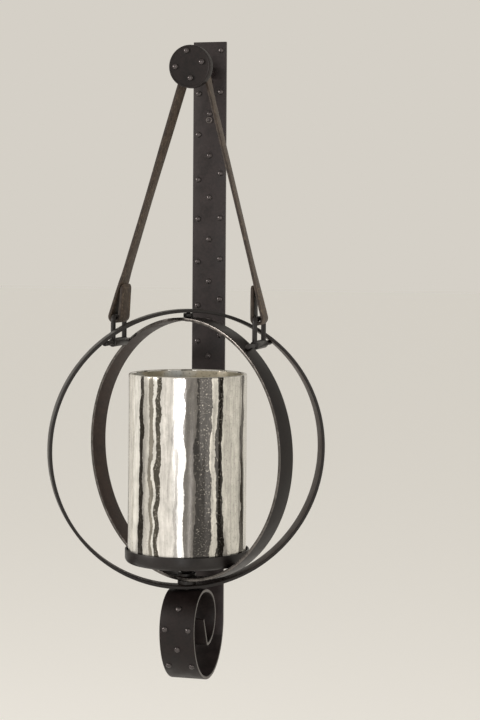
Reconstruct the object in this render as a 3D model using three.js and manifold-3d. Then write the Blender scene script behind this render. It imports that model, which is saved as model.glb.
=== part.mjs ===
// Wall sconce candle holder: a studded iron strip rolled into a scroll at its foot, two crossing
// hoops around a mercury-glass cylinder in a shallow pan, and a leather strap from a round
// boss down to both hoops.
//
// Millimetres, +Z up. The wall is the plane Y = 0 and the sconce stands out of it towards -Y.
// The origin is on the strip's back face, on its centreline, level with the hoops' centre.

import * as THREE from 'three';
import { mergeVertices } from 'three/addons/utils/BufferGeometryUtils.js';
import Module from 'manifold-3d';

const wasm = await Module();
wasm.setup();

// ---------------------------------------------------------------- driving dimensions

const FIT_GAP = 0.3;             // clearance between pieces that touch
const BOW_GAP = 0.9;             // the same between a flat piece and a hoop's curved face

const BAR_WIDTH = 35.5;
const BAR_THICK = 3.2;
const BAR_TOP = 416.2;           // height of the strip's top edge
const WALL_BEND_TOP = -183;      // where the strip leaves the wall
const WALL_BEND_RADIUS = 52;     // outside radii of the scroll's bends, in order
const FRONT_BEND_RADIUS = 58;
const BROW_BEND_RADIUS = 35.5;
const CROWN_BEND_RADIUS = 60;
const CURL_BEND_RADIUS = 27.4;
const TIP_BEND_RADIUS = 6;
const CROWN_SWEEP = 30;          // degrees
const TIP_SWEEP = 65;
const TIP_LENGTH = 28;           // straight end of the scroll

const STUD_RADIUS = 3;
const STUD_HEIGHT = 2;
const STUD_SINK = 0.8;           // how far a joined stud runs into its strip
const STUD_SPREAD = 12;          // each stud of a pair, from the centreline
const STUD_TOP = 407;
const STUD_PITCH = 21.85;        // from a pair to the next single stud
const STUD_ROWS = 27;
const LOWER_PITCH = 18.7;        // rows sit closer from this row down
const LOWER_ROW = 12;
const SECOND_ROW_DROP = 10.5;    // the second row sits low, to clear the peg
const PAIR_SKEW = [0.5, 1.6, 0, 6.4, 1.2, 3, 6.4, 6.4];   // left stud below the right, by hand

const SCREW_HEIGHTS = [334.6, -42.2];
const SCREW_RADIUS = 2.2;
const SCREW_HEAD_RADIUS = 3.4;
const SCREW_HEAD_HEIGHT = 1.3;

const BOSS_HEIGHT = 384.4;       // height of the peg and disc above the hoops' centre
const PEG_RADIUS = 6;
const DISC_RADIUS = 21.7;
const DISC_THICK = 9.4;
const DISC_FRONT = 76;           // distance of the disc's face from the wall
const DISC_STUD_RING = 14;
const DISC_STUD_SHIFT = [-1.4, 2.2];
const DISC_STUD_TURN = 9;        // degrees

const HOOP_AXIS = 75.35;         // distance of the hoops' common upright axis from the wall
const HOOP_TURN = 26.9;          // degrees that each hoop is turned from the wall's plane
const HOOP_WIDTH = 18.8;
const HOOP_THICK = 3.2;
const OUTER_HOOP_RADIUS = 140.2;
const INNER_HOOP_RADIUS = 131.8;

const ROD_RADIUS = 2.5;
const ROD_HEIGHT = 106;
const STAPLE_WIDTH = 34;         // between the centres of the staple's legs
const STAPLE_WIRE = 5;
const STAPLE_TOP = 132;          // height of the middle of its top bar
const BARREL_RADIUS = 4.4;       // sleeve at the staple's foot, around the rod

const STRAP_THICK = 2.6;
const STRAP_WIDTH = 23.4;
const STRAP_BEND = 8.2;          // inside radius where it hangs on the peg
const STRAP_DEPTH_TOP = 52.6;    // distance of its middle from the wall, at the peg
const STRAP_DEPTH_FOOT = 75;     // and at the staples
const FLAP_LENGTH = 33;          // the end turned back up and stitched down
const FLAP_GAP = 0.5;            // between the flap's end and the strap
const FOLD_GAP = 0.5;            // between the fold and the staple

const GLASS_RADIUS = 59.8;
const GLASS_WALL = 3;
const GLASS_TOP = 75.8;
const PAN_RADIUS = 62.4;
const PAN_WALL = 1.6;
const PAN_RIM = -99.8;
const PAN_BOTTOM = -113.2;
const PAN_BEND = 5;

const POST_RADIUS = 7.2;
const COLLAR_RADIUS = 9.2;
const COLLAR_HEIGHT = 3;
const BOLT_RADIUS = 3;
const BOLT_HEAD_RADIUS = 6.5;
const BOLT_HEAD_HEIGHT = 3;
const NUT_RADIUS = 6.4;          // across its corners, halved
const NUT_HEIGHT = 5;
const WASHER_RADIUS = 8.5;
const WASHER_HEIGHT = 1.4;
const RIVET_RADIUS = 2;

// ---------------------------------------------------------------- finishes

const blackIron = new THREE.MeshStandardMaterial({ color: 0x2b2524, roughness: 0.5, metalness: 0.6 });
const oldIron = new THREE.MeshStandardMaterial({ color: 0x332a27, roughness: 0.45, metalness: 0.6 });
const leather = new THREE.MeshStandardMaterial({ color: 0x4b3c30, roughness: 0.7, metalness: 0 });
const mercuryGlass = new THREE.MeshStandardMaterial({ color: 0xb9b6ab, roughness: 0.12, metalness: 0.9 });
const steel = new THREE.MeshStandardMaterial({ color: 0x4a4644, roughness: 0.4, metalness: 0.9 });

// ---------------------------------------------------------------- helpers

const sconce = new THREE.Group();
const radians = THREE.MathUtils.degToRad;

function place(name, geometry, material) {
  const mesh = new THREE.Mesh(geometry, material);
  mesh.name = name;
  sconce.add(mesh);
}

// A geometry as a solid that can be joined and cut.
function solid(geometry) {
  const bare = geometry.clone();
  bare.deleteAttribute('normal');
  bare.deleteAttribute('uv');
  const merged = mergeVertices(bare, 1e-4);
  const vertProperties = new Float32Array(merged.attributes.position.array);
  const triVerts = new Uint32Array(merged.index.array);
  return new wasm.Manifold(new wasm.Mesh({ numProp: 3, vertProperties, triVerts }));
}

function geometryOf(body) {
  const mesh = body.getMesh();
  const geometry = new THREE.BufferGeometry();
  geometry.setAttribute('position', new THREE.BufferAttribute(new Float32Array(mesh.vertProperties), 3));
  geometry.setIndex(new THREE.BufferAttribute(new Uint32Array(mesh.triVerts), 1));
  geometry.computeVertexNormals();
  return geometry;
}

// An outline of [depth from the wall, height] points, extruded to a width along X.
function acrossWall(points, width) {
  const outline = new THREE.Shape(points.map(([depth, height]) => new THREE.Vector2(-depth, height)));
  const geometry = new THREE.ExtrudeGeometry(outline, { depth: width, bevelEnabled: false });
  geometry.translate(0, 0, -width / 2);
  const turn = new THREE.Matrix4().makeBasis(
    new THREE.Vector3(0, 1, 0), new THREE.Vector3(0, 0, 1), new THREE.Vector3(1, 0, 0));
  return geometry.applyMatrix4(turn);
}

// An outline of [x, height] points, extruded to a width along Y.
function outOfWall(points, width) {
  const outline = new THREE.Shape(points.map(([x, height]) => new THREE.Vector2(x, height)));
  const geometry = new THREE.ExtrudeGeometry(outline, { depth: width, bevelEnabled: false });
  geometry.translate(0, 0, -width / 2);
  return geometry.rotateX(Math.PI / 2);
}

// Points of an arc from one angle to another, both in degrees.
function arc(centre, radius, from, to, step = 7.5) {
  const count = Math.max(2, Math.round(Math.abs(to - from) / step));
  const points = [];
  for (let i = 0; i <= count; i += 1) {
    const angle = radians(from + (to - from) * i / count);
    points.push([centre[0] + radius * Math.cos(angle), centre[1] + radius * Math.sin(angle)]);
  }
  return points;
}

// A turned solid on the upright axis through (0, -depth), from [radius, height] points.
function turned(points, depth = HOOP_AXIS, segments = 64) {
  const profile = points.map(([radius, height]) => new THREE.Vector2(radius, height));
  const geometry = new THREE.LatheGeometry([...profile, profile[0].clone()], segments);
  return geometry.rotateX(Math.PI / 2).translate(0, -depth, 0);
}

// A turned solid whose axis points out of the wall, from [radius, distance from the wall].
function turnedOut(points, height, segments = 48) {
  const profile = points.map(([radius, depth]) => new THREE.Vector2(radius, depth));
  const geometry = new THREE.LatheGeometry([...profile, profile[0].clone()], segments);
  return geometry.rotateX(Math.PI).translate(0, 0, height);
}

// A round stud: a low dome standing on a face at a point, with its axis along a direction.
function stud(point, direction, sink) {
  const across = 10;
  const dome = [[0, -sink], [STUD_RADIUS, -sink], [STUD_RADIUS, 0.3], [STUD_RADIUS * 0.8, STUD_HEIGHT * 0.65],
    [STUD_RADIUS * 0.4, STUD_HEIGHT * 0.95], [0, STUD_HEIGHT]];
  const geometry = new THREE.LatheGeometry(dome.map(([r, h]) => new THREE.Vector2(r, h)), across);
  const turn = new THREE.Quaternion().setFromUnitVectors(new THREE.Vector3(0, 1, 0), direction);
  return geometry.applyQuaternion(turn).translate(point.x, point.y, point.z);
}

// ---------------------------------------------------------------- wall strip and scroll

// Centres of the scroll's bends, each tangent to the one before.
const wallCentre = [WALL_BEND_RADIUS, WALL_BEND_TOP];
const scrollFoot = WALL_BEND_TOP - WALL_BEND_RADIUS;
const frontCentre = [WALL_BEND_RADIUS, scrollFoot + FRONT_BEND_RADIUS];
const browCentre = [frontCentre[0] + FRONT_BEND_RADIUS - BROW_BEND_RADIUS, frontCentre[1]];
const scrollTop = browCentre[1] + BROW_BEND_RADIUS;
const crownCentre = [browCentre[0], scrollTop - CROWN_BEND_RADIUS];
const crownStep = CROWN_BEND_RADIUS - CURL_BEND_RADIUS;
const curlCentre = [
  crownCentre[0] - crownStep * Math.sin(radians(CROWN_SWEEP)),
  crownCentre[1] + crownStep * Math.cos(radians(CROWN_SWEEP)),
];
const tipCentre = [curlCentre[0], curlCentre[1] - CURL_BEND_RADIUS + TIP_BEND_RADIUS];
const tipAngle = radians(TIP_SWEEP);

// One face of the strip, inset from its outer face, from the top edge to the scroll's end.
function stripFace(inset) {
  const bend = (centre, radius, from, to) => arc(centre, radius - inset, from, to);
  const tip = bend(tipCentre, TIP_BEND_RADIUS, 270, 270 + TIP_SWEEP);
  const last = tip[tip.length - 1];
  return [
    [inset, BAR_TOP],
    ...bend(wallCentre, WALL_BEND_RADIUS, 180, 270),
    ...bend(frontCentre, FRONT_BEND_RADIUS, 270, 360).slice(1),
    ...bend(browCentre, BROW_BEND_RADIUS, 0, 90).slice(1),
    ...bend(crownCentre, CROWN_BEND_RADIUS, 90, 90 + CROWN_SWEEP).slice(1),
    ...bend(curlCentre, CURL_BEND_RADIUS, 90 + CROWN_SWEEP, 270).slice(1),
    ...tip.slice(1),
    [last[0] + TIP_LENGTH * Math.cos(tipAngle), last[1] + TIP_LENGTH * Math.sin(tipAngle)],
  ];
}

function uprightBore(radius, low, high) {
  const geometry = new THREE.CylinderGeometry(radius, radius, high - low, 24);
  return geometry.rotateX(Math.PI / 2).translate(0, -HOOP_AXIS, (low + high) / 2);
}

function wallBore(radius, near, far, height) {
  const geometry = new THREE.CylinderGeometry(radius, radius, far - near, 20);
  return geometry.translate(0, -(near + far) / 2, height);
}

function stripStuds() {
  const studs = [];
  for (let row = 0; row < STUD_ROWS; row += 1) {
    const below = Math.max(0, row - LOWER_ROW);
    const height = STUD_TOP - STUD_PITCH * (row - below) - LOWER_PITCH * below;
    const pair = row % 2 === 0;
    const skew = PAIR_SKEW[row / 2] ?? 0;
    const spots = pair
      ? [[-STUD_SPREAD, height - skew / 2], [STUD_SPREAD, height + skew / 2]]
      : [[0, row === 1 ? height - SECOND_ROW_DROP : height]];
    for (const [x, z] of spots) {
      studs.push(stud(new THREE.Vector3(x, -BAR_THICK, z), new THREE.Vector3(0, -1, 0), STUD_SINK));
    }
  }
  return studs;
}

function makeStrip() {
  const outline = [...stripFace(0), ...stripFace(BAR_THICK).reverse()];
  let body = solid(acrossWall(outline, BAR_WIDTH));
  for (const head of stripStuds()) body = body.add(solid(head));
  for (const height of SCREW_HEIGHTS) {
    body = body.subtract(solid(wallBore(SCREW_RADIUS + FIT_GAP, -1, BAR_THICK + 1, height)));
  }
  body = body.subtract(solid(uprightBore(BOLT_RADIUS + FIT_GAP, scrollTop - 8, scrollTop + 8)));
  place('wall_strip', geometryOf(body), blackIron);
}

// A flat-bottomed screw head on the strip, with its shank ending flush with the strip's back.
function makeWallScrews() {
  SCREW_HEIGHTS.forEach((height, index) => {
    const face = BAR_THICK + FIT_GAP;
    const profile = [[0, 0.05], [SCREW_RADIUS, 0.05], [SCREW_RADIUS, face], [SCREW_HEAD_RADIUS, face],
      [SCREW_HEAD_RADIUS, face + 0.4], [SCREW_HEAD_RADIUS * 0.7, face + SCREW_HEAD_HEIGHT],
      [0, face + SCREW_HEAD_HEIGHT]];
    place(`wall_screw_${index + 1}`, turnedOut(profile, height, 20), steel);
  });
}

// Loose studs on the scroll's rounded face: rows by angle about the bend that carries them.
function makeScrollStuds() {
  const rows = [
    { centre: browCentre, radius: BROW_BEND_RADIUS, angle: 36, pair: false },
    { centre: browCentre, radius: BROW_BEND_RADIUS, angle: 2, pair: true },
    { centre: frontCentre, radius: FRONT_BEND_RADIUS, angle: -19, pair: false },
    { centre: frontCentre, radius: FRONT_BEND_RADIUS, angle: -40, pair: true },
  ];
  let count = 0;
  for (const { centre, radius, angle, pair } of rows) {
    const out = new THREE.Vector3(0, -Math.cos(radians(angle)), Math.sin(radians(angle)));
    const reach = radius + FIT_GAP;
    for (const x of pair ? [-STUD_SPREAD, STUD_SPREAD] : [0]) {
      const foot = new THREE.Vector3(x, -centre[0], centre[1]).addScaledVector(out, reach);
      count += 1;
      place(`scroll_stud_${count}`, stud(foot, out, 0), blackIron);
    }
  }
}

// ---------------------------------------------------------------- peg, disc and its studs

function makeBoss() {
  const discBack = DISC_FRONT - DISC_THICK;
  place('peg', turnedOut([[0, BAR_THICK + FIT_GAP], [PEG_RADIUS, BAR_THICK + FIT_GAP],
    [PEG_RADIUS, discBack - FIT_GAP], [0, discBack - FIT_GAP]], BOSS_HEIGHT, 32), blackIron);
  const edge = 0.8;
  place('disc', turnedOut([[0, discBack], [DISC_RADIUS - edge, discBack], [DISC_RADIUS, discBack + edge],
    [DISC_RADIUS, DISC_FRONT - edge], [DISC_RADIUS - edge, DISC_FRONT], [0, DISC_FRONT]],
  BOSS_HEIGHT), blackIron);
  for (let i = 0; i < 4; i += 1) {
    const angle = radians(DISC_STUD_TURN + 90 * i);
    const x = DISC_STUD_SHIFT[0] + DISC_STUD_RING * Math.cos(angle);
    const z = BOSS_HEIGHT + DISC_STUD_SHIFT[1] + DISC_STUD_RING * Math.sin(angle);
    const foot = new THREE.Vector3(x, -DISC_FRONT - FIT_GAP, z);
    place(`disc_stud_${i + 1}`, stud(foot, new THREE.Vector3(0, -1, 0), 0), blackIron);
  }
}

// ---------------------------------------------------------------- hoops and what joins them

// A flat band rolled into an upright hoop, turned about the common axis.
function hoop(radius, turn) {
  const corners = arc([0, 0], radius, 0, 360, 5).slice(0, -1);
  const ring = new THREE.Shape(corners.map(([x, z]) => new THREE.Vector2(x, z)));
  ring.holes.push(new THREE.Path(arc([0, 0], radius - HOOP_THICK, 0, 360, 5).slice(0, -1)
    .map(([x, z]) => new THREE.Vector2(x, z))));
  const geometry = new THREE.ExtrudeGeometry(ring, { depth: HOOP_WIDTH, bevelEnabled: false });
  geometry.translate(0, 0, -HOOP_WIDTH / 2).rotateX(Math.PI / 2).rotateZ(radians(turn));
  return geometry.translate(0, -HOOP_AXIS, 0);
}

function makeHoops() {
  const bolt = solid(uprightBore(BOLT_RADIUS + FIT_GAP, -OUTER_HOOP_RADIUS - 5, -INNER_HOOP_RADIUS + 8));
  const rivet = solid(uprightBore(RIVET_RADIUS + FIT_GAP, INNER_HOOP_RADIUS - 8, OUTER_HOOP_RADIUS + 5));
  const outer = solid(hoop(OUTER_HOOP_RADIUS, HOOP_TURN));
  const inner = solid(hoop(INNER_HOOP_RADIUS, -HOOP_TURN));
  place('hoop_outer', geometryOf(outer.subtract(bolt).subtract(rivet)), oldIron);
  place('hoop_inner', geometryOf(inner.subtract(bolt).subtract(rivet)), oldIron);
}

// The crossings: a washer between the hoops at top and foot, and a rivet at the top.
function makeCrossings() {
  const low = INNER_HOOP_RADIUS + FIT_GAP;
  const high = OUTER_HOOP_RADIUS - HOOP_THICK - BOW_GAP;
  const washer = (radius, bore, from, to) => turned([[bore, from], [radius, from], [radius, to], [bore, to]],
    HOOP_AXIS, 32);
  place('top_washer', washer(5, RIVET_RADIUS + FIT_GAP, low, high), oldIron);
  place('foot_washer', washer(COLLAR_RADIUS, BOLT_RADIUS + FIT_GAP, -high, -low), oldIron);
  const rivetHead = INNER_HOOP_RADIUS - HOOP_THICK - FIT_GAP;
  place('top_rivet', turned([[0, rivetHead - 1.6], [2.2, rivetHead - 1.3], [3.6, rivetHead - 0.5],
    [3.6, rivetHead], [RIVET_RADIUS, rivetHead], [RIVET_RADIUS, OUTER_HOOP_RADIUS - 0.4],
    [0, OUTER_HOOP_RADIUS - 0.4]], HOOP_AXIS, 24), oldIron);
}

// Where a rod or staple sits on one side: its middle, and the way the rod runs in plan.
function sideFrame(side) {
  const reach = (radius, away) => {
    const along = Math.sqrt(radius ** 2 - ROD_HEIGHT ** 2) * side;
    const turn = radians(HOOP_TURN);
    return new THREE.Vector3(along * Math.cos(turn), -HOOP_AXIS + along * Math.sin(turn) * away, ROD_HEIGHT);
  };
  const onOuter = reach(OUTER_HOOP_RADIUS - HOOP_THICK - ROD_RADIUS, 1);
  const onInner = reach(INNER_HOOP_RADIUS + ROD_RADIUS, -1);
  return { onOuter, onInner };
}

function rodMiddle(side) {
  const { onOuter, onInner } = sideFrame(side);
  return new THREE.Vector3().addVectors(onOuter, onInner).multiplyScalar(0.5);
}

// A rod between the hoops, its ends cut to leave a small gap to their bands.
function makeRod(side, name, bands) {
  const { onOuter, onInner } = sideFrame(side);
  const along = new THREE.Vector3().subVectors(onOuter, onInner);
  const middle = rodMiddle(side);
  const direction = along.clone().normalize();
  const overrun = 10;
  const turn = new THREE.Quaternion().setFromUnitVectors(new THREE.Vector3(0, 1, 0), direction);
  const geometry = new THREE.CylinderGeometry(ROD_RADIUS, ROD_RADIUS, along.length() + overrun, 16);
  geometry.applyQuaternion(turn).translate(middle.x, middle.y, middle.z);
  const parts = solid(geometry).subtract(bands).decompose().sort((a, b) => b.volume() - a.volume());
  place(name, geometryOf(parts[0]), oldIron);
  return { middle, direction };
}

// The space that a rod may not enter: both hoops grown by the fit gap, and what lies beyond them.
function hoopBands() {
  const grown = (radius, turn, inside, outside) => {
    const ring = arc([0, 0], radius + outside, 0, 360, 5).slice(0, -1)
      .map(([x, z]) => new THREE.Vector2(x, z));
    const shape = new THREE.Shape(ring);
    shape.holes.push(new THREE.Path(arc([0, 0], radius - HOOP_THICK - inside, 0, 360, 5).slice(0, -1)
      .map(([x, z]) => new THREE.Vector2(x, z))));
    const width = HOOP_WIDTH + 2 * FIT_GAP;
    const geometry = new THREE.ExtrudeGeometry(shape, { depth: width, bevelEnabled: false });
    geometry.translate(0, 0, -width / 2).rotateX(Math.PI / 2).rotateZ(radians(turn));
    return solid(geometry.translate(0, -HOOP_AXIS, 0));
  };
  const beyond = 12;
  return grown(OUTER_HOOP_RADIUS, HOOP_TURN, FIT_GAP, beyond)
    .add(grown(INNER_HOOP_RADIUS, -HOOP_TURN, beyond, FIT_GAP));
}

// An upturned staple with rounded top corners, whose legs join a sleeve around the rod.
function makeStaple(name, middle, direction) {
  const half = STAPLE_WIDTH / 2;
  const wire = STAPLE_WIRE / 2;
  const rise = STAPLE_TOP - ROD_HEIGHT;
  const corner = 4;
  const top = rise + wire;
  const outline = [
    [-half - wire, 0], ...arc([-half - wire + corner, top - corner], corner, 180, 90, 22.5),
    ...arc([half + wire - corner, top - corner], corner, 90, 0, 22.5), [half + wire, 0],
    [half - wire, 0], ...arc([half - wire - 1.5, rise - wire - 1.5], 1.5, 0, 90, 45),
    ...arc([-half + wire + 1.5, rise - wire - 1.5], 1.5, 90, 180, 45), [-half + wire, 0],
  ];
  const shape = new THREE.Shape(outline.map(([along, up]) => new THREE.Vector2(along, up)));
  const geometry = new THREE.ExtrudeGeometry(shape, { depth: STAPLE_WIRE, bevelEnabled: false });
  geometry.translate(0, 0, -wire).rotateX(Math.PI / 2);
  const round = (radius, length) => solid(new THREE.CylinderGeometry(radius, radius, length, 24)
    .rotateZ(Math.PI / 2));
  const body = solid(geometry).add(round(BARREL_RADIUS, STAPLE_WIDTH + STAPLE_WIRE))
    .subtract(round(ROD_RADIUS + FIT_GAP, 2 * STAPLE_WIDTH));
  const turn = Math.atan2(direction.y, direction.x);
  place(name, geometryOf(body).rotateZ(turn).translate(middle.x, middle.y, middle.z), oldIron);
}

// ---------------------------------------------------------------- leather strap

// One leg's line in the plane that faces the wall: it leaves the bend over the peg and runs
// straight to the fold round the staple's top bar, then turns back up as a short flap.
function strapLeg() {
  const bend = STRAP_BEND + STRAP_THICK / 2;
  const wrap = STAPLE_WIRE * Math.SQRT1_2 + FOLD_GAP + STRAP_THICK / 2;
  const bendCentre = [0, BOSS_HEIGHT + PEG_RADIUS + FIT_GAP - STRAP_BEND];
  const foldCentre = [rodMiddle(1).x, STAPLE_TOP];
  // common outside tangent of the two circles, on the right-hand side
  const dx = foldCentre[0] - bendCentre[0];
  const dz = foldCentre[1] - bendCentre[1];
  const slope = Math.atan2(dz, dx) + Math.PI / 2;
  const shift = Math.asin((bend - wrap) / Math.hypot(dx, dz));
  const tangent = slope - shift;
  return { bend, wrap, bendCentre, foldCentre, tangent: tangent * 180 / Math.PI };
}

// Points along one side of the strap's right half, offset outwards from its middle line.
function strapSide(offset) {
  const { bend, wrap, bendCentre, foldCentre, tangent } = strapLeg();
  const flapSide = tangent - 180;
  const rise = FLAP_LENGTH;
  const over = arc(bendCentre, bend + offset, 90, tangent, 10);
  const fold = arc(foldCentre, wrap + offset, tangent, flapSide + 12, 15);
  const last = fold[fold.length - 1];
  const legDirection = radians(tangent + 90);
  const close = wrap * 2 - STRAP_THICK - FLAP_GAP;
  const inward = radians(tangent);
  const flapEnd = [
    last[0] + rise * Math.cos(legDirection) + close * Math.cos(inward),
    last[1] + rise * Math.sin(legDirection) + close * Math.sin(inward),
  ];
  return [...over, ...fold, flapEnd];
}

function makeStrap() {
  const half = STRAP_THICK / 2;
  const rightOuter = strapSide(half);
  const rightInner = strapSide(-half);
  const mirrored = (points) => points.map(([x, z]) => [-x, z]);
  const outline = [
    ...rightOuter, ...rightInner.slice().reverse(),
    ...mirrored(rightInner).slice(1), ...mirrored(rightOuter).reverse().slice(0, -1),
  ];
  const geometry = outOfWall(outline, STRAP_WIDTH);
  // it leans away from the wall towards its foot, where it turns to lie square on the staples
  const lean = (STRAP_DEPTH_FOOT - STRAP_DEPTH_TOP) / (BOSS_HEIGHT - STAPLE_TOP);
  const { onOuter, onInner } = sideFrame(1);
  const footTurn = (onOuter.x - onInner.x) / (onOuter.y - onInner.y);
  const position = geometry.attributes.position;
  for (let i = 0; i < position.count; i += 1) {
    const drop = Math.max(0, BOSS_HEIGHT - position.getZ(i));
    const share = Math.min(1, drop / (BOSS_HEIGHT - STAPLE_TOP - FLAP_LENGTH));
    position.setX(i, position.getX(i) + position.getY(i) * footTurn * share);
    position.setY(i, position.getY(i) - STRAP_DEPTH_TOP - drop * lean);
  }
  geometry.computeVertexNormals();
  place('strap', geometry, leather);
}

// ---------------------------------------------------------------- pan, glass and its post

function makePanAndGlass() {
  const bore = BOLT_RADIUS + FIT_GAP;
  const floor = PAN_BOTTOM + PAN_WALL;
  const outside = arc([PAN_RADIUS - PAN_BEND, PAN_BOTTOM + PAN_BEND], PAN_BEND, 270, 360, 22.5);
  const inside = arc([PAN_RADIUS - PAN_BEND, PAN_BOTTOM + PAN_BEND], PAN_BEND - PAN_WALL, 360, 270, 30);
  const pan = [[bore, PAN_BOTTOM], ...outside, [PAN_RADIUS, PAN_RIM], [PAN_RADIUS - PAN_WALL, PAN_RIM],
    ...inside, [bore, floor]];
  place('pan', turned(pan, HOOP_AXIS, 72), oldIron);
  const glassFoot = floor + 0.7;
  const glass = [[GLASS_RADIUS - GLASS_WALL, glassFoot], [GLASS_RADIUS - 1, glassFoot],
    [GLASS_RADIUS, glassFoot + 1], [GLASS_RADIUS, GLASS_TOP - 0.8], [GLASS_RADIUS - 0.8, GLASS_TOP],
    [GLASS_RADIUS - GLASS_WALL + 0.8, GLASS_TOP], [GLASS_RADIUS - GLASS_WALL, GLASS_TOP - 0.8]];
  place('glass', turned(glass, HOOP_AXIS, 72), mercuryGlass);
}

// The bolt through pan, post, both hoops and the scroll's crown, and what it clamps.
function makePost() {
  const bore = BOLT_RADIUS + FIT_GAP;
  const hoopFace = -INNER_HOOP_RADIUS + HOOP_THICK + BOW_GAP;
  const collarTop = hoopFace + COLLAR_HEIGHT;
  place('post_collar', turned([[bore, hoopFace], [COLLAR_RADIUS, hoopFace], [COLLAR_RADIUS, collarTop - 1],
    [COLLAR_RADIUS - 1, collarTop], [bore, collarTop]], HOOP_AXIS, 32), oldIron);
  const postFoot = collarTop + FIT_GAP;
  const postTop = PAN_BOTTOM - FIT_GAP;
  const waist = (postFoot + postTop) / 2;
  place('post', turned([[bore, postFoot], [POST_RADIUS - 1.4, postFoot], [POST_RADIUS, waist - 2],
    [POST_RADIUS, waist + 2], [POST_RADIUS - 1.4, postTop], [bore, postTop]], HOOP_AXIS, 32), oldIron);
  const stripUnder = scrollTop - BAR_THICK;
  const headFoot = PAN_BOTTOM + PAN_WALL + FIT_GAP;
  const boltEnd = stripUnder - WASHER_HEIGHT - NUT_HEIGHT - 4;
  place('centre_bolt', turned([[0, boltEnd], [BOLT_RADIUS - 0.6, boltEnd], [BOLT_RADIUS, boltEnd + 0.6],
    [BOLT_RADIUS, headFoot], [BOLT_HEAD_RADIUS, headFoot], [BOLT_HEAD_RADIUS * 0.9, headFoot + 1.6],
    [BOLT_HEAD_RADIUS * 0.5, headFoot + BOLT_HEAD_HEIGHT], [0, headFoot + BOLT_HEAD_HEIGHT]],
  HOOP_AXIS, 24), steel);
  // the strip's underside dips away from the bolt, so the washer hangs a little below it
  const washerTop = stripUnder - 1.7;
  place('foot_lock_washer', turned([
    [bore, washerTop - WASHER_HEIGHT], [WASHER_RADIUS, washerTop - WASHER_HEIGHT],
    [WASHER_RADIUS, washerTop], [bore, washerTop]], HOOP_AXIS, 32), steel);
  const nutTop = washerTop - WASHER_HEIGHT - FIT_GAP;
  const hexagon = new THREE.CylinderGeometry(NUT_RADIUS, NUT_RADIUS, NUT_HEIGHT, 6);
  hexagon.rotateX(Math.PI / 2).translate(0, -HOOP_AXIS, nutTop - NUT_HEIGHT / 2);
  place('foot_nut',
    geometryOf(solid(hexagon).subtract(solid(uprightBore(bore, boltEnd, stripUnder)))), steel);
}

// ---------------------------------------------------------------- assembly

makeStrip();
makeWallScrews();
makeScrollStuds();
makeBoss();
makeHoops();
makeCrossings();
const bands = hoopBands();
for (const [side, word] of [[-1, 'left'], [1, 'right']]) {
  const { middle, direction } = makeRod(side, `rod_${word}`, bands);
  makeStaple(`staple_${word}`, middle, direction);
}
makeStrap();
makePanAndGlass();
makePost();

export default sconce;
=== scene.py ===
"""Looks of a wall sconce candle holder: a studded iron strip rolled into a scroll, two crossing hoops,
a mercury-glass cylinder in a shallow pan, and a leather strap from a round boss to both hoops.

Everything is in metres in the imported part's frame: X right, the wall at Y = 0, the sconce out towards -Y,
Z up.
"""

import math

import bmesh
import bpy
from bpy.props import FloatProperty, FloatVectorProperty, IntProperty, PointerProperty
from mathutils import Matrix, Vector


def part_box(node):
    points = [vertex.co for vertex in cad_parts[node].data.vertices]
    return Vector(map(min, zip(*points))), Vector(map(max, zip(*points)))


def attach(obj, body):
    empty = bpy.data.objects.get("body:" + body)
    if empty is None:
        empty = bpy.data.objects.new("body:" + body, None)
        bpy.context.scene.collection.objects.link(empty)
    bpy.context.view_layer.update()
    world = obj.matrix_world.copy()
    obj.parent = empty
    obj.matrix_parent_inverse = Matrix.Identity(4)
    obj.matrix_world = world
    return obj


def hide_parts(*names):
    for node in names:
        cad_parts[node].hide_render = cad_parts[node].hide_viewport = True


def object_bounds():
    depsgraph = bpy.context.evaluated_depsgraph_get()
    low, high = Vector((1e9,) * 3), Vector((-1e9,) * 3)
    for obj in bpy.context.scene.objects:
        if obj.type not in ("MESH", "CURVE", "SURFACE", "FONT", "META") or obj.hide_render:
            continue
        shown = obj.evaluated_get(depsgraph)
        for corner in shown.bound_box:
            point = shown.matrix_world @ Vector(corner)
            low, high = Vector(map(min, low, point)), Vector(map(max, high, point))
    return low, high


bl_info = {
    "name": "Wall sconce candle holder",
    "version": (1, 0, 0),
    "blender": (4, 5, 0),
    "location": "3D View > Sidebar > Sconce",
    "description": "Builds the finished pieces of a forged wall sconce around its packed frame",
    "category": "Add Mesh",
}

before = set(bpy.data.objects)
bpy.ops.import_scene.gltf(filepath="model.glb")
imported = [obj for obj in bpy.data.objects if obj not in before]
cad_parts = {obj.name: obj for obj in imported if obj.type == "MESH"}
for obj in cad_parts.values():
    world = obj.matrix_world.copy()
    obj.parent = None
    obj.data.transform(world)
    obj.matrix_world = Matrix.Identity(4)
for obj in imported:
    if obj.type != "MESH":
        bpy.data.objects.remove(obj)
CAD_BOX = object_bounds()
MM = 0.001
UP = Vector((0, 0, 1))
OUT = Vector((0, -1, 0))         # away from the wall


def colour(hex_code):
    """A linear RGBA colour from an sRGB hex code."""
    channels = [int(hex_code[i:i + 2], 16) / 255 for i in (1, 3, 5)]
    return tuple(c / 12.92 if c <= 0.04045 else ((c + 0.055) / 1.055) ** 2.4 for c in channels) + (1.0,)


# ---------------------------------------------------------------- sizes and colours that can be changed

STRIP_LOW, STRIP_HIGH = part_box("wall_strip")
DISC_LOW, DISC_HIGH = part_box("disc")
GLASS_LOW, GLASS_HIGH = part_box("glass")
PAN_LOW, PAN_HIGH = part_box("pan")
HOOP_AXIS_Y = (GLASS_LOW.y + GLASS_HIGH.y) / 2
BOSS_CENTRE = (DISC_LOW + DISC_HIGH) / 2
BOLT_BORE = 3.3 * MM             # radius of the holes for the centre bolt
RIVET_BORE = 2.3 * MM
FLAP_CORNER = 9 * MM             # the strap's cut ends are rounded by this much


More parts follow.
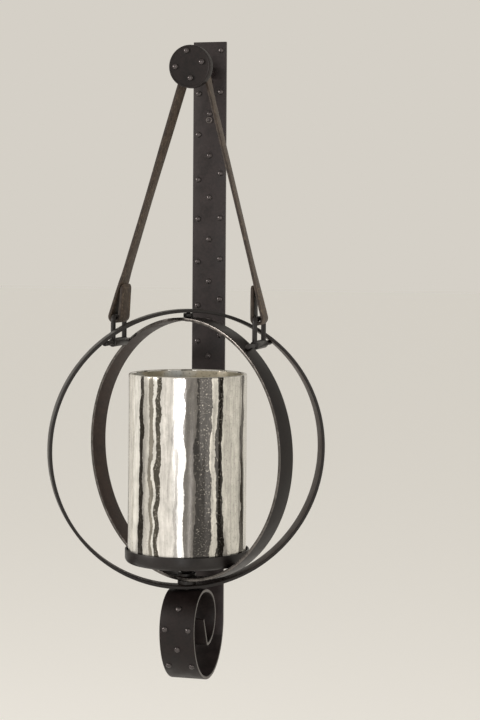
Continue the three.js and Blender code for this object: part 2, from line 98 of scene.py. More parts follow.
class SconceSizes(bpy.types.PropertyGroup):
    """Sizes of the finished pieces, in metres and radians."""

    bar_thick: FloatProperty(
        name="Strip thickness", description="Flat iron of the wall strip", default=3.2 * MM, unit="LENGTH")
    wall_bend: FloatProperty(
        name="Wall bend", description="Outside radius where the strip leaves the wall",
        default=52 * MM, unit="LENGTH")
    front_bend: FloatProperty(
        name="Front bend", description="Outside radius of the scroll's front",
        default=58 * MM, unit="LENGTH")
    brow_bend: FloatProperty(
        name="Brow bend", description="Outside radius of the scroll's upper front",
        default=35.5 * MM, unit="LENGTH")
    crown_bend: FloatProperty(
        name="Crown bend", description="Outside radius of the flatter stretch on top",
        default=60 * MM, unit="LENGTH")
    curl_bend: FloatProperty(
        name="Curl bend", description="Outside radius of the inner curl", default=27.4 * MM, unit="LENGTH")
    tip_bend: FloatProperty(
        name="Tip bend", description="Outside radius before the straight tip",
        default=6 * MM, unit="LENGTH")
    tip_length: FloatProperty(
        name="Tip length", description="Straight end of the scroll", default=28 * MM, unit="LENGTH")
    stud_radius: FloatProperty(
        name="Stud radius", description="Round heads on strip, scroll and boss",
        default=3 * MM, unit="LENGTH")
    stud_height: FloatProperty(
        name="Stud height", description="How far a head stands out", default=2 * MM, unit="LENGTH")
    stud_spread: FloatProperty(
        name="Stud spread", description="Each stud of a pair, from the centreline",
        default=12 * MM, unit="LENGTH")
    hoop_turn: FloatProperty(
        name="Hoop turn", description="Each hoop is turned this far from the wall's plane",
        default=math.radians(26.9), subtype="ANGLE")
    hoop_width: FloatProperty(
        name="Hoop width", description="Flat iron of the hoops", default=18.8 * MM, unit="LENGTH")
    hoop_thick: FloatProperty(
        name="Hoop thickness", description="Flat iron of the hoops", default=3.2 * MM, unit="LENGTH")
    ring_wire: FloatProperty(
        name="Ring wire", description="Iron of the rings that hold the strap",
        default=5 * MM, unit="LENGTH")
    ring_width: FloatProperty(
        name="Ring width", description="Between the centres of a ring's legs",
        default=34 * MM, unit="LENGTH")
    strap_width: FloatProperty(
        name="Strap width", description="Leather strap", default=23.2 * MM, unit="LENGTH")
    strap_thick: FloatProperty(
        name="Strap thickness", description="Leather strap", default=2.6 * MM, unit="LENGTH")
    flap_length: FloatProperty(
        name="Flap length", description="Strap end stitched back on itself", default=33 * MM, unit="LENGTH")
    glass_wall: FloatProperty(
        name="Glass wall", description="Thickness of the cylinder", default=3 * MM, unit="LENGTH")
    pan_wall: FloatProperty(
        name="Pan wall", description="Sheet iron of the pan", default=1.6 * MM, unit="LENGTH")
    glass_segments: IntProperty(
        name="Glass segments", description="Faces round the cylinder", default=240, min=48)


class SconceFinishes(bpy.types.PropertyGroup):
    """Base colours of the finishes."""

    strip_iron: FloatVectorProperty(
        name="Strip iron", description="Waxed forged iron",
        subtype="COLOR", size=4, default=colour("#231c1c"))
    hoop_iron: FloatVectorProperty(
        name="Hoop iron", description="Oil-blackened iron",
        subtype="COLOR", size=4, default=colour("#15100e"))
    hoop_inside: FloatVectorProperty(
        name="Hoop inside", description="Browner inner faces",
        subtype="COLOR", size=4, default=colour("#352a25"))
    scroll_iron: FloatVectorProperty(
        name="Scroll iron", description="Darker iron of the scroll and the disc",
        subtype="COLOR", size=4, default=colour("#150e0d"))
    stud_iron: FloatVectorProperty(
        name="Stud heads", description="Rubbed round heads",
        subtype="COLOR", size=4, default=colour("#4b4646"))
    # lighter, more metallic iron for the inner hoop's edges only: a painted glint that stands in for the
    # highlight the key light throws along them
    inner_hoop_glint: FloatVectorProperty(
        name="Hoop edges", description="Burnished edges of the hoops",
        subtype="COLOR", size=4, default=colour("#5d5956"))
    worn_edge: FloatVectorProperty(
        name="Worn edge", description="Rubbed edges of the strip",
        subtype="COLOR", size=4, default=colour("#524c49"))
    leather: FloatVectorProperty(
        name="Leather", description="Oiled harness leather",
        subtype="COLOR", size=4, default=colour("#3f342b"))
    floor: FloatVectorProperty(
        name="Floor", description="Pale studio floor", subtype="COLOR", size=4, default=colour("#fefefd"))


# ---------------------------------------------------------------- modelling helpers

def start(primitive, name, scale=(1, 1, 1), **settings):
    """Adds a primitive, puts its place into its mesh and opens it for editing with nothing selected."""
    bpy.ops.object.select_all(action="DESELECT")
    primitive(**settings)
    piece = bpy.context.object
    piece.name = piece.data.name = name
    piece.scale = scale
    bpy.ops.object.transform_apply(location=True, rotation=True, scale=True)
    bpy.ops.object.mode_set(mode="EDIT")
    bpy.ops.mesh.select_mode(type="VERT")
    bpy.ops.mesh.select_all(action="DESELECT")
    return piece


def pick(piece, kind, test):
    """Selects only the vertices, edges or faces that pass a test, while the piece is open for editing."""
    bpy.ops.mesh.select_mode(type=kind)
    bpy.ops.mesh.select_all(action="DESELECT")
    mesh = bmesh.from_edit_mesh(piece.data)
    mesh.normal_update()
    for part in {"VERT": mesh.verts, "EDGE": mesh.edges, "FACE": mesh.faces}[kind]:
        if test(part):
            part.select_set(True)
    mesh.select_flush_mode()
    bmesh.update_edit_mesh(piece.data)


def pick_all():
    """Selects all of the piece that is open for editing."""
    bpy.ops.mesh.select_all(action="SELECT")


def middle(edge):
    """The middle of an edge."""
    return (edge.verts[0].co + edge.verts[1].co) / 2


def run(vector):
    """Extrudes what is selected along a vector."""
    bpy.ops.mesh.extrude_region_move(TRANSFORM_OT_translate={"value": tuple(vector)})


def bend(centre, axis, angle, step=math.radians(3)):
    """Sweeps what is selected round an axis, right-handed: Blender's own spin turns the other way."""
    steps = max(1, round(abs(angle) / step))
    bpy.ops.mesh.spin(steps=steps, angle=-angle, center=tuple(centre), axis=tuple(axis))


def apply_modifier(piece, kind, **settings):
    """Adds a modifier with its settings and applies it."""
    modifier = piece.modifiers.new(kind.title(), kind)
    for key, value in settings.items():
        setattr(modifier, key, value)
    bpy.ops.object.modifier_apply(modifier=modifier.name)


def close(piece, edge=0.0, segments=2, smooth=35):
    """Closes seams, turns faces outwards, rounds the sharp edges and shades the rest smooth."""
    pick_all()
    bpy.ops.mesh.remove_doubles(threshold=0.00001)
    bpy.ops.mesh.delete_loose()
    pick_all()
    bpy.ops.mesh.normals_make_consistent(inside=False)
    bpy.ops.object.mode_set(mode="OBJECT")
    if edge:
        apply_modifier(piece, "BEVEL", width=edge, segments=segments, limit_method="ANGLE",
                       angle_limit=math.radians(40), use_clamp_overlap=True)
    bpy.ops.object.shade_smooth_by_angle(angle=math.radians(smooth))


def finish_piece(piece, keys, slot, *nodes, body="root"):
    """Gives a piece its finishes and its body, and hides the CAD nodes that it stands for. The slot is not
    used.
    """
    for key in keys:
        piece.data.materials.append(finish(key))
    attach(piece, body)
    if nodes:
        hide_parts(*nodes)


def paint(piece, index, test):
    """Gives the faces that pass a test another of the piece's materials."""
    for face in piece.data.polygons:
        if test(face):
            face.material_index = index


def join(pieces, name):
    """Joins pieces into one mesh object."""
    bpy.ops.object.select_all(action="DESELECT")
    for piece in pieces:
        piece.select_set(True)
    bpy.context.view_layer.objects.active = pieces[0]
    bpy.ops.object.join()
    pieces[0].name = pieces[0].data.name = name
    return pieces[0]


def copy_to(pattern, name, turn, place):
    """A copy of a piece modelled at the origin, with its own mesh, turned and moved to its place."""
    copy = pattern.copy()
    copy.data = pattern.data.copy()
    copy.name = copy.data.name = name
    bpy.context.collection.objects.link(copy)
    copy.data.transform(Matrix.Translation(place) @ turn.to_matrix().to_4x4())
    return copy


def round_bar(name, foot, top, radius, vertices=48, edge=0.3 * MM):
    """A round bar between two points, with softened ends."""
    along = top - foot
    piece = start(bpy.ops.mesh.primitive_cylinder_add, name, vertices=vertices, radius=radius,
                  depth=along.length, location=(foot + top) / 2,
                  rotation=along.to_track_quat("Z", "Y").to_euler())
    close(piece, edge)
    return piece


def turned_piece(name, profile, segments=96, centre_y=HOOP_AXIS_Y):
    """A piece turned on the upright axis of the hoops, from a closed outline of (radius, height) points."""
    piece = start(bpy.ops.mesh.primitive_circle_add, name, vertices=len(profile), radius=1)
    mesh = bmesh.from_edit_mesh(piece.data)
    for vertex, (radius, height) in zip(mesh.verts, profile):
        vertex.co = (radius, centre_y, height)
    bmesh.update_edit_mesh(piece.data)
    pick_all()
    bend((0, centre_y, 0), UP, math.tau, math.tau / segments)
    return piece


def turned_washer(node, bore, key, slot, edge):
    """A flat round washer or collar in the place of its CAD node, with a bore and softened edges."""
    low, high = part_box(node)
    radius = (high.x - low.x) / 2
    outline = [(bore, low.z), (radius, low.z), (radius, high.z), (bore, high.z)]
    washer = turned_piece(node + "_round", outline)
    close(washer, edge=edge, segments=3)
    finish_piece(washer, [key], slot, node)


# ---------------------------------------------------------------- material helpers

def new_material(name):
    """An empty node material and its tree."""
    material = bpy.data.materials.new(name)
    material.use_nodes = True
    tree = material.node_tree
    tree.nodes.clear()
    return material, tree


def add(tree, kind, inputs=None, **settings):
    """Adds a shader node with its settings; inputs are values, or output sockets to link from."""
    made = tree.nodes.new("ShaderNode" + kind)
    for key, value in settings.items():
        setattr(made, key, value)
    for key, value in (inputs or {}).items():
        if isinstance(value, bpy.types.NodeSocket):
            tree.links.new(value, made.inputs[key])
        else:
            made.inputs[key].default_value = value
    return made


def calculate(tree, operation, *values):
    """The result of one sum on values or sockets."""
    return add(tree, "Math", dict(enumerate(values)), operation=operation).outputs[0]


def noise(tree, place, size, detail, roughness=0.5):
    """Noise from 0 to 1 in patches about one size across."""
    return add(tree, "TexNoise", {"Vector": place, "Scale": 1 / size, "Detail": detail,
                                  "Roughness": roughness}).outputs["Fac"]


def stretched(tree, place, upright):
    """Coordinates whose upright axis is scaled: below 1 draws patches out upright."""
    return add(tree, "Mapping", {"Vector": place, "Scale": (1.0, 1.0, upright)}).outputs["Vector"]


def remap(tree, value, low, high, to_low=0.0, to_high=1.0):
    """A value's range moved to another one, and clamped to it."""
    return add(tree, "MapRange", {"Value": value, "From Min": low, "From Max": high, "To Min": to_low,
                                  "To Max": to_high}).outputs["Result"]


def ramp(tree, value, stops, interpolation="LINEAR"):
    """A colour ramp with its stops, as (place, colour) pairs."""
    node = add(tree, "ValToRGB", {"Fac": value})
    node.color_ramp.interpolation = interpolation
    elements = node.color_ramp.elements
    while len(elements) > 1:
        elements.remove(elements[-1])
    elements[0].position, elements[0].color = stops[0]
    for place, shade in stops[1:]:
        elements.new(place).color = shade
    return node.outputs["Color"]


def mix(tree, share, first, second, blend="MIX"):
    """Two colours mixed."""
    return add(tree, "Mix", {"Factor": share, "A": first, "B": second}, data_type="RGBA",
               blend_type=blend).outputs["Result"]


def bump(tree, height, strength, distance):
    """A normal that follows a height."""
    return add(tree, "Bump", {"Height": height, "Strength": strength, "Distance": distance}).outputs["Normal"]


def surface(tree, inputs):
    """The material's own shader, joined to its output."""
    shader = add(tree, "BsdfPrincipled", inputs)
    add(tree, "OutputMaterial", {"Surface": shader.outputs["BSDF"]})


def shaded(shade, share):
    """A colour made darker or lighter by a share of itself."""
    return tuple(min(1.0, c * share) for c in shade[:3]) + (1.0,)


def iron(name, base, metallic, roughness, mottle=0.35, patch_mm=14, specular=0.4):
    """Forged flat iron, blackened and waxed: a dull satin skin, mottled in soft patches a thumb wide,
    with a fine hammered grain that breaks up the highlight."""
    material, tree = new_material(name)
    place = add(tree, "TexCoord").outputs["Object"]
    patches = noise(tree, place, patch_mm * MM, 3.0, 0.55)
    grain = noise(tree, place, 2.2 * MM, 2.0)
    both = calculate(tree, "ADD", patches, grain)
    tone = ramp(tree, calculate(tree, "MULTIPLY", both, 0.5), [
        (0.36, shaded(base, 1 - mottle)), (0.5, base), (0.64, shaded(base, 1 + mottle))])
    surface(tree, {
        "Base Color": tone, "Metallic": metallic, "Specular IOR Level": specular,
        "Roughness": remap(tree, patches, 0.3, 0.7, roughness - 0.07, roughness + 0.09),
        "Normal": bump(tree, both, 0.35, 0.05 * MM)})
    return material


def leather(name, base, flecks=0.55):
    """Oiled harness leather: matt brown with a fine pebbled grain and small tan rub marks."""
    material, tree = new_material(name)
    place = add(tree, "TexCoord").outputs["Object"]
    grain = noise(tree, stretched(tree, place, 0.3), 1.6 * MM, 4.0, 0.7)
    tone = ramp(tree, noise(tree, place, 9 * MM, 3.0), [
        (0.35, shaded(base, 0.72)), (0.65, shaded(base, 1.25))])
    worn = mix(tree, remap(tree, grain, 0.52, 0.66, 0.0, flecks), tone, colour("#8a7b69"))
    surface(tree, {"Base Color": worn, "Roughness": 0.62, "Specular IOR Level": 0.35,
                   "Normal": bump(tree, grain, 0.5, 0.15 * MM)})
    return material


# Bands round the cylinder, partly streaks of the silvering and partly painted reflections of light and dark
# surroundings, with a near-white painted highlight band from 6 to 13 degrees. For each band: where it ends,
# in degrees from the front towards +X, its colour, and how heavily it is speckled.
SILVER_STREAKS_AND_REFLECTIONS = [
    (-168, "#e6e3de", 0.2), (-157, "#4a463e", 0.7), (-141, "#f2f0ec", 0.1), (-134, "#8a857c", 0.7),
    (-118, "#eceae4", 0.2), (-112, "#3a362f", 0.5), (-97, "#e2dfd8", 0.3), (-84, "#f8f6f2", 0.1),
    (-75, "#a09a90", 0.6), (-62, "#d6d3cc", 0.3),
    (-47, "#dfdcd4", 0.4), (-37, "#f2f0ea", 0.1), (-32, "#3a3630", 0.4), (-23, "#cfccc5", 0.4),
    (-19, "#8b867c", 0.9), (-16, "#e9e7e1", 0.2), (-10, "#4a463d", 1.0), (4, "#e9e6e1", 0.2),
    (6, "#c6c3bf", 0.2), (13, "#fdfcfb", 0.0), (23, "#75716d", 0.8), (38, "#3a3735", 0.7),
    (44, "#b3b0a8", 0.5), (52, "#2f2c27", 0.7), (78, "#e6e3da", 0.5), (85, "#453f35", 0.8),
    (104, "#d6d3cb", 0.5), (121, "#f1eee8", 0.2), (131, "#5f5a53", 0.7), (150, "#eae7e0", 0.3),
    (163, "#77726a", 0.6), (180, "#f0ede8", 0.1),
]


def mercury_glass(name):
    """Silvered antique glass: a bright mirror skin whose silver has run into upright streaks, white to nearly
    black, with ragged edges and dark specks where it has lifted. The band colours also hold painted
    reflections of light and dark surroundings and a near-white painted highlight."""
    material, tree = new_material(name)
    place = add(tree, "VectorMath", {0: add(tree, "TexCoord").outputs["Object"], 1: (0, HOOP_AXIS_Y, 0)},
                operation="SUBTRACT").outputs["Vector"]
    axes = add(tree, "SeparateXYZ", {"Vector": place})
    towards_front = calculate(tree, "MULTIPLY", axes.outputs["Y"], -1.0)
    angle = calculate(tree, "ARCTAN2", axes.outputs["X"], towards_front)
    # the streaks wander from side to side every 30 mm or so, lean a little, and are ragged at 3 mm and less
    upright = stretched(tree, place, 0.6)
    wander = noise(tree, upright, 19 * MM, 1.5)
    ragged = noise(tree, place, 3.4 * MM, 6.0, 0.7)
    around = calculate(tree, "MULTIPLY_ADD", angle, 1 / math.tau, 0.5)
    for shift in (calculate(tree, "MULTIPLY_ADD", wander, 0.034, -0.017),
                  calculate(tree, "MULTIPLY_ADD", ragged, 0.011, -0.0055),
                  calculate(tree, "MULTIPLY", axes.outputs["Z"], -0.02)):
        around = calculate(tree, "ADD", around, shift)
    places = [degrees / 360 + 0.5 for degrees in [-180] + [end for end, _, _ in SILVER_STREAKS_AND_REFLECTIONS[:-1]]]
    shades = [colour(shade) for _, shade, _ in SILVER_STREAKS_AND_REFLECTIONS]
    amounts = [(amount,) * 3 + (1.0,) for _, _, amount in SILVER_STREAKS_AND_REFLECTIONS]
    # these band colours hold painted reflections and a painted highlight as well as the silver's own streaks
    streak_and_reflection_colours = ramp(tree, around, list(zip(places, shades)), "CONSTANT")
    speckled = ramp(tree, around, list(zip(places, amounts)), "CONSTANT")
    specks = remap(tree, noise(tree, place, 1.5 * MM, 2.0, 0.6), 0.6, 0.68)
    # specks are dark on the light streaks and light on the dark ones
    lightness = add(tree, "RGBToBW", {"Color": streak_and_reflection_colours}).outputs["Val"]
    speck_tone = ramp(tree, lightness, [(0.1, colour("#b5b0a5")), (0.3, colour("#3a362f"))])
    silver = mix(tree, calculate(tree, "MULTIPLY", specks, speckled), streak_and_reflection_colours, speck_tone)
    # the silver also thins and thickens in fine upright wisps, a couple of millimetres apart
    wisps = noise(tree, stretched(tree, place, 0.09), 2.4 * MM, 3.0, 0.6)
    clouds = noise(tree, upright, 7 * MM, 4.0, 0.6)
    veil = calculate(tree, "MULTIPLY", remap(tree, wisps, 0.35, 0.6, 0.78, 1.04),
                     remap(tree, clouds, 0.3, 0.7, 0.8, 1.16))
    surface(tree, {"Base Color": mix(tree, 1.0, silver, veil, "MULTIPLY"), "Metallic": 0.65, "Roughness": 0.2,
                   "Normal": bump(tree, ragged, 0.25, 0.2 * MM), "Coat Weight": 0.4, "Coat Roughness": 0.04})
    return material


def glass_lining(name):
    """Inside of the silvered cylinder: dull khaki grey with dark pinholes and a bluish bloom."""
    material, tree = new_material(name)
    place = add(tree, "TexCoord").outputs["Object"]
    tone = ramp(tree, noise(tree, place, 38 * MM, 2.0), [
        (0.35, colour("#8f8a76")), (0.52, colour("#a89f8a")), (0.66, colour("#c4c6c4"))])
    holes = remap(tree, noise(tree, place, 2.6 * MM, 4.0, 0.7), 0.56, 0.66, 0.0, 0.7)
    surface(tree, {"Base Color": mix(tree, holes, tone, colour("#4a463c")), "Metallic": 0.25,
                   "Roughness": 0.4})
    return material


def plain(name, shade, roughness, metallic=0.0):
    """An even surface of one colour: waxed thread, the glass' ground rim, or the floor's matt paint."""
    material, tree = new_material(name)
    surface(tree, {"Base Color": shade, "Roughness": roughness, "Metallic": metallic})
    return material


def finish(key):
    """One of the finishes by its key, made the first time that a piece asks for it."""
    shades = bpy.context.scene.sconce_finishes
    makers = {
        "strip": lambda: iron("waxed_forged_iron", shades.strip_iron, 0.2, 0.45),
        "scroll": lambda: iron("darkened_iron", shades.scroll_iron, 0.15, 0.5, mottle=0.45, specular=0.28),
        "stud": lambda: iron("rubbed_stud_heads", shades.stud_iron, 0.75, 0.27, mottle=0.2, patch_mm=4),
        # a painted glint for the inner hoop's edges
        "inner_hoop_glint": lambda: iron("inner_hoop_painted_glint", shades.inner_hoop_glint, 0.9, 0.24, patch_mm=8),
        "edge": lambda: iron("rubbed_iron_edge", shades.worn_edge, 0.6, 0.38, mottle=0.2, specular=0.5),
        "hoop": lambda: iron("oil_blackened_iron", shades.hoop_iron, 0.2, 0.42),
        "hoop_inside": lambda: iron("oil_blackened_iron_brown", shades.hoop_inside, 0.15, 0.5),
        "bolt": lambda: iron("oiled_steel", colour("#4a4644"), 0.85, 0.42, mottle=0.15, patch_mm=5),
        "leather": lambda: leather("oiled_harness_leather", shades.leather),
        "cut_edge": lambda: leather("burnished_leather_edge", colour("#2a211b"), flecks=0.15),
        "thread": lambda: plain("waxed_linen_thread", colour("#6e6050"), 0.7),
        "silver": lambda: mercury_glass("mercury_glass"),
        "rim": lambda: plain("ground_glass_rim", colour("#b9b7ae"), 0.3, 0.3),
        "lining": lambda: glass_lining("mercury_glass_lining"),
        "floor": lambda: plain("matt_floor_paint", shades.floor, 0.9),
    }
    name = "finish_" + key
    if name not in bpy.context.scene:
        bpy.context.scene[name] = makers[key]()
    return bpy.context.scene[name]


# ---------------------------------------------------------------- wall strip, scroll and studs

STRIP_LEAVES_WALL = -183 * MM


def scroll_bends(sizes):
    """The scroll's bends in order, as (name, centre out of the wall and height, outside radius, sweep)."""
    wall = Vector((sizes.wall_bend, STRIP_LEAVES_WALL))
    front = Vector((sizes.wall_bend, STRIP_LEAVES_WALL - sizes.wall_bend + sizes.front_bend))
    brow = front + Vector((sizes.front_bend - sizes.brow_bend, 0))
    crown = brow + Vector((0, sizes.brow_bend - sizes.crown_bend))
    reach = sizes.crown_bend - sizes.curl_bend
    crown_sweep, tip_sweep = math.radians(30), math.radians(65)
    curl = crown + reach * Vector((-math.sin(crown_sweep), math.cos(crown_sweep)))
    tip = curl + Vector((0, sizes.tip_bend - sizes.curl_bend))
    quarter = math.pi / 2
    return [
        ("wall", wall, sizes.wall_bend, quarter), ("front", front, sizes.front_bend, quarter),
        ("brow", brow, sizes.brow_bend, quarter), ("crown", crown, sizes.crown_bend, crown_sweep),
        ("curl", curl, sizes.curl_bend, math.pi - crown_sweep), ("tip", tip, sizes.tip_bend, tip_sweep),
    ]


def build_strip():
    sizes = bpy.context.scene.sconce_sizes
    width = STRIP_HIGH.x - STRIP_LOW.x
    piece = start(bpy.ops.mesh.primitive_plane_add, "wall_strip_forged", size=1,
                  scale=(width, sizes.bar_thick, 1), location=(0, -sizes.bar_thick / 2, STRIP_HIGH.z))
    pick_all()
    stretches = 24
    for _ in range(stretches):
        run(UP * (STRIP_LEAVES_WALL - STRIP_HIGH.z) / stretches)
    heading = 0.0
    for _, centre, _, sweep in scroll_bends(sizes):
        bend((0, -centre.x, centre.y), (-1, 0, 0), sweep)
        heading += sweep
    lean = heading - math.pi / 2
    run(sizes.tip_length * Vector((0, -math.cos(lean), math.sin(lean))))
    close(piece, edge=0.45 * MM, segments=3)
    finish_piece(piece, ["strip", "edge", "scroll"], "black_iron", "wall_strip")
    # the scroll is darker than the flat of the strip, and only its near edges are rubbed bright
    paint(piece, 2, lambda face: face.center.y < -sizes.bar_thick - 3 * MM)
    paint(piece, 1, lambda face: abs(face.normal.x) > 0.97)


def stud_pattern(sizes):
    """A hammered round head standing on the XY plane at the origin."""
    pattern = start(bpy.ops.mesh.primitive_uv_sphere_add, "stud_pattern", segments=28, ring_count=14,
                    radius=sizes.stud_radius, scale=(1, 1, sizes.stud_height / sizes.stud_radius))
    pick_all()
    bpy.ops.mesh.bisect(plane_co=(0, 0, 0.05 * MM), plane_no=(0, 0, 1), use_fill=True, clear_inner=True)
    close(pattern)
    return pattern


def strip_stud_places(sizes):
    """Rows of studs down the strip: pairs and single ones in turn, a little uneven, as punched by hand."""
    top, pitch, lower_pitch, lower_row, rows = 407 * MM, 21.85 * MM, 18.7 * MM, 12, 27
    second_row_drop = 10.5 * MM
    skews = [0.5, 1.6, 0, 6.4, 1.2, 3, 6.4, 6.4]
    for row in range(rows):
        below = max(0, row - lower_row)
        height = top - pitch * (row - below) - lower_pitch * below
        if row % 2:
            yield 0, height - (second_row_drop if row == 1 else 0)
            continue
        skew = skews[row // 2] * MM if row // 2 < len(skews) else 0
        yield -sizes.stud_spread, height - skew / 2
        yield sizes.stud_spread, height + skew / 2


def build_studs():
    sizes = bpy.context.scene.sconce_sizes
    pattern = stud_pattern(sizes)
    outward = OUT.to_track_quat("Z", "Y")
    heads = [copy_to(pattern, "strip_stud", outward, Vector((x, -sizes.bar_thick, z)))
             for x, z in strip_stud_places(sizes)]
    finish_piece(join(heads, "strip_studs"), ["stud"], "black_iron")
    bends = {name: (centre, radius) for name, centre, radius, _ in scroll_bends(sizes)}
    rows = [("brow", 36, 1), ("brow", 2, 2), ("front", -19, 1), ("front", -40, 2)]
    number = 0
    for name, degrees, count in rows:
        centre, radius = bends[name]
        out = Vector((0, -math.cos(math.radians(degrees)), math.sin(math.radians(degrees))))
        for x in ([0] if count == 1 else [-sizes.stud_spread, sizes.stud_spread]):
            number += 1
            place = Vector((x, -centre.x, centre.y)) + out * radius
            head = copy_to(pattern, f"scroll_stud_{number}_head", out.to_track_quat("Z", "Y"), place)
            finish_piece(head, ["stud"], "black_iron", f"scroll_stud_{number}")
    for number in range(1, 5):
        low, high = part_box(f"disc_stud_{number}")
        place = (low + high) / 2
        place.y = DISC_LOW.y
        head = copy_to(pattern, f"disc_stud_{number}_head", outward, place)
        finish_piece(head, ["stud"], "black_iron", f"disc_stud_{number}")
    bpy.data.objects.remove(pattern)


def build_boss():
    radius = (DISC_HIGH.x - DISC_LOW.x) / 2
    thick = DISC_HIGH.y - DISC_LOW.y
    disc = start(bpy.ops.mesh.primitive_cylinder_add, "disc_forged", vertices=112, radius=radius, depth=thick,
                 location=BOSS_CENTRE, rotation=(math.pi / 2, 0, 0))
    # a shallow step runs round the face, just inside the rim
    pick(disc, "FACE", lambda face: face.normal.y < -0.9)
    bpy.ops.mesh.inset(thickness=1.7 * MM)
    bpy.ops.mesh.inset(thickness=0.4 * MM)
    bpy.ops.transform.translate(value=(0, 0.35 * MM, 0))
    close(disc, edge=0.5 * MM, segments=3, smooth=30)
    finish_piece(disc, ["scroll", "strip"], "black_iron", "disc")
    # the small faces round the rim's front edge take the lighter strip iron: a painted highlight, a thin
    # light line round the rim
    paint(disc, 1, lambda face: face.area < 2.2 * MM * MM and face.center.y < DISC_LOW.y + 0.8 * MM
          and (face.center - BOSS_CENTRE).xz.length > radius - 0.55 * MM)
    low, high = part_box("peg")
    middle_line = Vector((0, 0, BOSS_CENTRE.z))
    peg = round_bar("peg_round", middle_line + Vector((0, high.y, 0)), middle_line + Vector((0, low.y, 0)),
                    (high.x - low.x) / 2, vertices=64)
    finish_piece(peg, ["strip"], "black_iron", "peg")


def build_screws():
    for number in (1, 2):
        low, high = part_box(f"wall_screw_{number}")
        centre = (low + high) / 2
        radius = (high.x - low.x) / 2
        head_foot = -bpy.context.scene.sconce_sizes.bar_thick
        head = start(bpy.ops.mesh.primitive_cylinder_add, f"wall_screw_{number}_head", vertices=48,
                     radius=radius, depth=head_foot - low.y, rotation=(math.pi / 2, 0, 0),
                     location=(centre.x, (low.y + head_foot) / 2, centre.z))
        # a raised ring round a sunk middle
        pick(head, "FACE", lambda face: face.normal.y < -0.9)
        bpy.ops.mesh.inset(thickness=1.0 * MM)
        bpy.ops.mesh.inset(thickness=0.35 * MM)
        bpy.ops.transform.translate(value=(0, 0.7 * MM, 0))
        close(head, edge=0.2 * MM, segments=2)
        finish_piece(head, ["stud", "edge"], "steel", f"wall_screw_{number}")
        paint(head, 1, lambda face: abs((face.center - centre).xz.length - radius * 0.83) < radius * 0.14)


# ---------------------------------------------------------------- hoops, rods and rings

def build_hoop(node, direction):
    sizes = bpy.context.scene.sconce_sizes
    low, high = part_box(node)
    radius = (high.z - low.z) / 2
    turn = sizes.hoop_turn * direction
    piece = start(bpy.ops.mesh.primitive_circle_add, node + "_forged", vertices=200,
                  radius=radius - sizes.hoop_thick / 2, location=(0, HOOP_AXIS_Y, 0),
                  rotation=(math.pi / 2, 0, turn))
    across = Vector((-math.sin(turn), math.cos(turn), 0)) * sizes.hoop_width
    pick_all()
    bpy.ops.transform.translate(value=tuple(-across / 2))
    run(across)
    close(piece)
    apply_modifier(piece, "SOLIDIFY", thickness=sizes.hoop_thick, offset=0.0, use_even_offset=True)
    apply_modifier(piece, "BEVEL", width=0.5 * MM, segments=3, limit_method="ANGLE",
                   angle_limit=math.radians(40))
    bpy.ops.object.shade_smooth_by_angle(angle=math.radians(35))
    # only the inner hoop's edges get the lighter iron, a painted glint; the outer hoop's edges stay plain
    # hoop iron
    edge = "inner_hoop_glint" if node == "hoop_inner" else "hoop"
    finish_piece(piece, ["hoop", "hoop_inside", edge], "old_iron", node)
    centre = Vector((0, HOOP_AXIS_Y, 0))
    paint(piece, 2, lambda face: abs(face.normal.dot(across)) > 0.6 * across.length)
    paint(piece, 1, lambda face: face.normal.dot((face.center - centre).normalized()) < -0.7)


def build_hoops():
    build_hoop("hoop_outer", 1)
    build_hoop("hoop_inner", -1)
    turned_washer("top_washer", RIVET_BORE, "hoop", "old_iron", 0.5 * MM)
    turned_washer("foot_washer", BOLT_BORE, "hoop", "old_iron", 0.5 * MM)
    # the hoops' top crossing is held by a rivet with a low domed foot and a flush top
    low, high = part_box("top_rivet")
    dome_top = low.z + 1.6 * MM
    rivet = start(bpy.ops.mesh.primitive_uv_sphere_add, "top_rivet_domed", segments=40, ring_count=20,
                  radius=(high.x - low.x) / 2, scale=(1, 1, 0.2), location=(0, HOOP_AXIS_Y, dome_top))
    pick_all()
    bpy.ops.mesh.bisect(plane_co=(0, 0, dome_top), plane_no=(0, 0, 1), use_fill=True, clear_outer=True)
    pick(rivet, "FACE", lambda face: face.normal.z > 0.9 and len(face.verts) > 8)
    bpy.ops.mesh.inset(thickness=1.6 * MM)
    run(UP * (high.z - dome_top))
    close(rivet)
    finish_piece(rivet, ["hoop"], "old_iron", "top_rivet")


def rod_ends(side):
    """The wall end and the front end of a rod's centreline: its front end lies further left."""
    low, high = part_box(f"rod_{side}")
    radius = (high.z - low.z) / 2
    height = (low.z + high.z) / 2
    return Vector((high.x - radius, high.y, height)), Vector((low.x + radius, low.y, height)), radius


